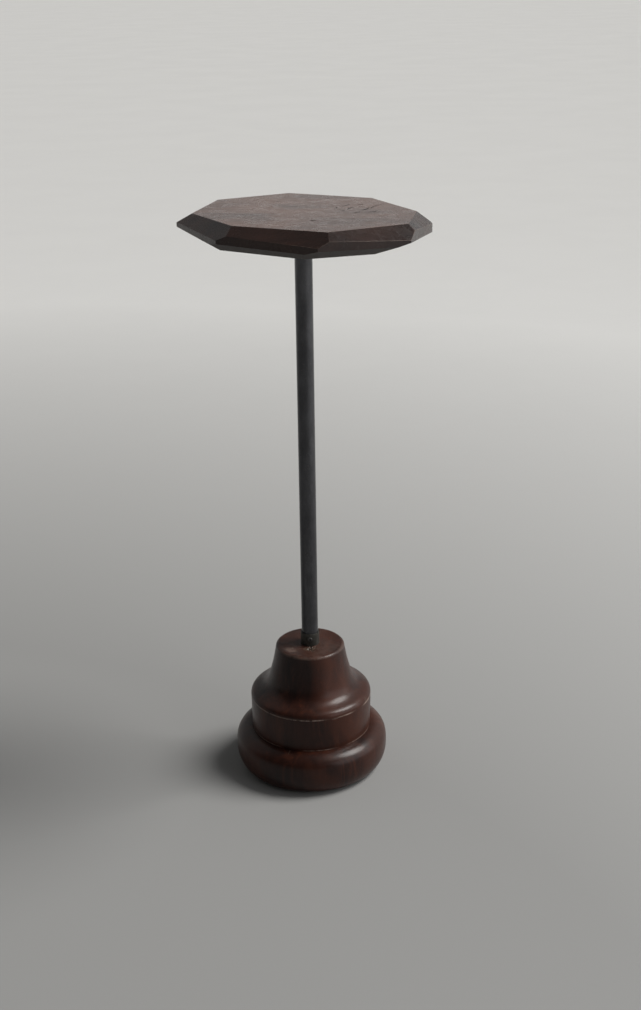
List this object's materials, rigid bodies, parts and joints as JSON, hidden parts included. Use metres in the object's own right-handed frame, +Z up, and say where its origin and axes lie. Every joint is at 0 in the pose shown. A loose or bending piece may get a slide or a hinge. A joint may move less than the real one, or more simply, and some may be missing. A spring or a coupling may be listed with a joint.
{
  "type": "sculpting turntable",
  "caption": "Tall sculpting turntable: an octagonal hardwood board spins on a steel pipe post that slides and locks in the sleeve of a turned wooden foot.",
  "frame": {"origin": "on the post's axis at floor level: the centre of the felt under the foot", "axes": "+Z up along the post, through the middle of the working surface; -Y is the front, where the lock screw is, and +X is to the right of it"},
  "size_m": [0.2973, 0.2948, 0.737],
  "materials": {
    "turned_wood": "dark satin varnish over turned mahogany, worn on the edges",
    "board_wood": "dark stain with a dull rubbed sheen, hand-planed",
    "felt": "pressed wool felt",
    "post_steel": "dark oiled pipe with a soft sheen",
    "socket_steel": "blackened steel",
    "spindle_steel": "turned bright steel, oiled",
    "screw_steel": "dark steel",
    "bronze": "oiled bearing bronze"
  },
  "bodies": {
    "base": {"base_bun": "turned_wood", "base_bell": "turned_wood", "felt_pad": "felt", "socket_plate": "socket_steel", "socket_sleeve": "socket_steel", "socket_plate_screws": "screw_steel", "base_joining_screws": "screw_steel"},
    "post": {"post_tube": "post_steel", "upper_bush": "bronze", "lower_bush": "bronze"},
    "turntable": {"top_board": "board_wood", "spindle_plate": "socket_steel", "spindle_pin": "spindle_steel", "thrust_washer": "bronze", "spindle_plate_screws": "screw_steel"},
    "lock_screw": {"lock_screw": "screw_steel"}
  },
  "joints": [
    {"name": "height_slide", "type": "slide", "parent": "base", "child": "post", "axis": [0, 0, 1], "range_m": [0, 0.1]},
    {"name": "turntable_spin", "type": "hinge", "parent": "post", "child": "turntable", "pos_m": [0, 0, 0.69545], "axis": [0, 0, 1], "continuous": true},
    {"name": "lock_screw_turn", "type": "hinge", "parent": "base", "child": "lock_screw", "pos_m": [0, -0.012, 0.1845], "axis": [0, -1, 0], "range_deg": [0, 360]}
  ]
}
